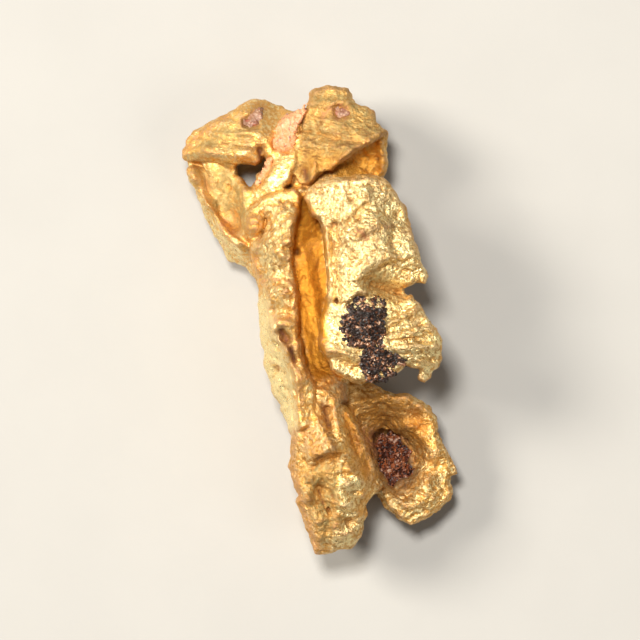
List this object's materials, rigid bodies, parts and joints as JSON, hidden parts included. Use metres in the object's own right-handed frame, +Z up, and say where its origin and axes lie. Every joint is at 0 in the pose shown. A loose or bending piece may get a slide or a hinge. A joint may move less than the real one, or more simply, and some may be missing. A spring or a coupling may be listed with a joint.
{
  "type": "gold nugget",
  "caption": "Elongated natural gold nugget of folded sheets, plates and a hollow lobe, with ironstone and quartz set in it, lying on its back.",
  "frame": {"origin": "centre of the bounding box's underside, on the surface that the nugget lies on", "axes": "+Y along the nugget's length, towards its broad end with the through-hole; +Z up, out of the face that the picture shows; +X to the right of that face"},
  "size_m": [0.013, 0.022, 0.0088],
  "materials": {
    "gold": "natural gold: yellow metal with a rough crystalline grain, worn bright on the high edges and stained brown in the hollows",
    "ironstone": "near-black granular ironstone with red-brown and pale grains",
    "pink_quartz": "dull salmon pink iron-stained quartz",
    "mauve_quartz": "dull mauve-brown quartz",
    "stained_quartz": "red-brown iron oxide with grey-white quartz grains"
  },
  "bodies": {
    "root": {"gold": "gold", "ironstone": "ironstone", "quartz_wedge": "pink_quartz", "quartz_hole_edge": "pink_quartz", "quartz_top_left": "mauve_quartz", "quartz_top_right": "mauve_quartz", "pocket_quartz": "stained_quartz"}
  },
  "joints": []
}
